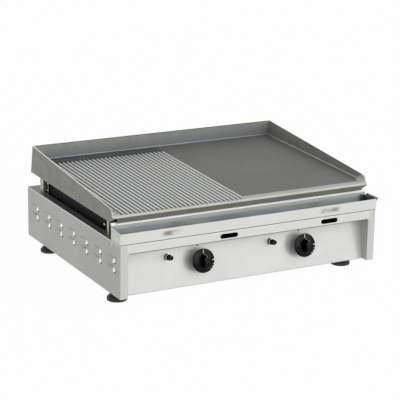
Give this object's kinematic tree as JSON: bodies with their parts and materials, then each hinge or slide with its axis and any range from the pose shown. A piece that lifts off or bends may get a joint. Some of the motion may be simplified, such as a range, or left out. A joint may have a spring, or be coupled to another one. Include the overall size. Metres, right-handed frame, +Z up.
{
  "type": "flat top griddle",
  "caption": "Countertop gas griddle: half-ribbed steel plate with raised splash walls over a louvred stainless casing, a pull-out grease channel, push-and-turn knobs and piezo igniters.",
  "frame": {"origin": "middle of the whole object's footprint, on the surface that its feet stand on", "axes": "+X to the right seen from the front, the front faces -Y, +Z up"},
  "size_m": [0.611, 0.512, 0.238],
  "materials": {
    "stainless": "satin brushed stainless sheet",
    "griddle_steel": "ground thick steel plate",
    "wall_steel": "satin steel",
    "shield_steel": "dark heat-proof finish",
    "plated_steel": "zinc plated",
    "pipe_steel": "plain steel tube",
    "tap_brass": "turned brass",
    "knob_plastic": "glossy black moulding",
    "igniter_plastic": "glossy black moulding",
    "foot_plastic": "matt black moulding",
    "ceramic": "white glazed insulator",
    "copper": "copper tube"
  },
  "bodies": {
    "casing": {"base_pan": "stainless", "burner_bar_front": "plated_steel", "burner_bar_rear": "plated_steel", "burner_left": "pipe_steel", "burner_right": "pipe_steel", "control_panel": "stainless", "electrode_left": "ceramic", "electrode_right": "ceramic", "foot_nuts": "plated_steel", "gas_inlet": "tap_brass", "gas_manifold": "pipe_steel", "heat_shield": "shield_steel", "igniter_body_left": "igniter_plastic", "igniter_body_right": "igniter_plastic", "injector_left": "tap_brass", "injector_right": "tap_brass", "rear_panel": "stainless", "side_panel_left": "stainless", "side_panel_right": "stainless", "supply_pipe": "pipe_steel", "support_leg_front_left": "plated_steel", "support_leg_front_right": "plated_steel", "support_leg_rear_left": "plated_steel", "support_leg_rear_right": "plated_steel", "tap_body_left": "tap_brass", "tap_body_right": "tap_brass", "thermocouple_left": "copper", "thermocouple_right": "copper", "top_frame": "stainless"},
    "griddle": {"griddle_plate": "griddle_steel", "splash_wall": "wall_steel", "front_apron": "griddle_steel"},
    "drip_tray": {"drip_tray": "stainless"},
    "levelling_foot_front_left": {"foot_front_left": "foot_plastic", "foot_stud_front_left": "plated_steel"},
    "levelling_foot_front_right": {"foot_front_right": "foot_plastic", "foot_stud_front_right": "plated_steel"},
    "levelling_foot_rear_left": {"foot_rear_left": "foot_plastic", "foot_stud_rear_left": "plated_steel"},
    "levelling_foot_rear_right": {"foot_rear_right": "foot_plastic", "foot_stud_rear_right": "plated_steel"},
    "tap_rotor_left": {"tap_rotor_left": "tap_brass"},
    "knob_left": {"knob_left": "knob_plastic", "tap_stem_left": "plated_steel"},
    "igniter_button_left": {"igniter_button_left": "igniter_plastic"},
    "tap_rotor_right": {"tap_rotor_right": "tap_brass"},
    "knob_right": {"knob_right": "knob_plastic", "tap_stem_right": "plated_steel"},
    "igniter_button_right": {"igniter_button_right": "igniter_plastic"}
  },
  "joints": [
    {"name": "griddle_lift", "type": "slide", "parent": "casing", "child": "griddle", "axis": [0, 0, 1], "range_m": [0, 0.08]},
    {"name": "drip_tray_pull", "type": "slide", "parent": "casing", "child": "drip_tray", "axis": [0, -1, 0], "range_m": [0, 0.06]},
    {"name": "foot_height_front_left", "type": "slide", "parent": "casing", "child": "levelling_foot_front_left", "axis": [0, 0, -1], "range_m": [0, 0.008]},
    {"name": "foot_height_front_right", "type": "slide", "parent": "casing", "child": "levelling_foot_front_right", "axis": [0, 0, -1], "range_m": [0, 0.008]},
    {"name": "foot_height_rear_left", "type": "slide", "parent": "casing", "child": "levelling_foot_rear_left", "axis": [0, 0, -1], "range_m": [0, 0.008]},
    {"name": "foot_height_rear_right", "type": "slide", "parent": "casing", "child": "levelling_foot_rear_right", "axis": [0, 0, -1], "range_m": [0, 0.008]},
    {"name": "tap_turn_left", "type": "hinge", "parent": "casing", "child": "tap_rotor_left", "pos_m": [-0.1122, -0.21372, 0.0779], "axis": [0, -0.9813, 0.1925], "range_deg": [0, 150]},
    {"name": "knob_push_left", "type": "slide", "parent": "tap_rotor_left", "child": "knob_left", "axis": [0, 0.9813, -0.1925], "range_m": [0, 0.0035], "stiffness_N_per_m": 1000, "springref_m": -0.004},
    {"name": "igniter_press_left", "type": "slide", "parent": "casing", "child": "igniter_button_left", "axis": [0, 0.9813, -0.1925], "range_m": [0, 0.005], "stiffness_N_per_m": 200, "springref_m": -0.004},
    {"name": "tap_turn_right", "type": "hinge", "parent": "casing", "child": "tap_rotor_right", "pos_m": [0.1283, -0.21372, 0.0779], "axis": [0, -0.9813, 0.1925], "range_deg": [0, 150]},
    {"name": "knob_push_right", "type": "slide", "parent": "tap_rotor_right", "child": "knob_right", "axis": [0, 0.9813, -0.1925], "range_m": [0, 0.0035], "stiffness_N_per_m": 1000, "springref_m": -0.004},
    {"name": "igniter_press_right", "type": "slide", "parent": "casing", "child": "igniter_button_right", "axis": [0, 0.9813, -0.1925], "range_m": [0, 0.005], "stiffness_N_per_m": 200, "springref_m": -0.004}
  ]
}
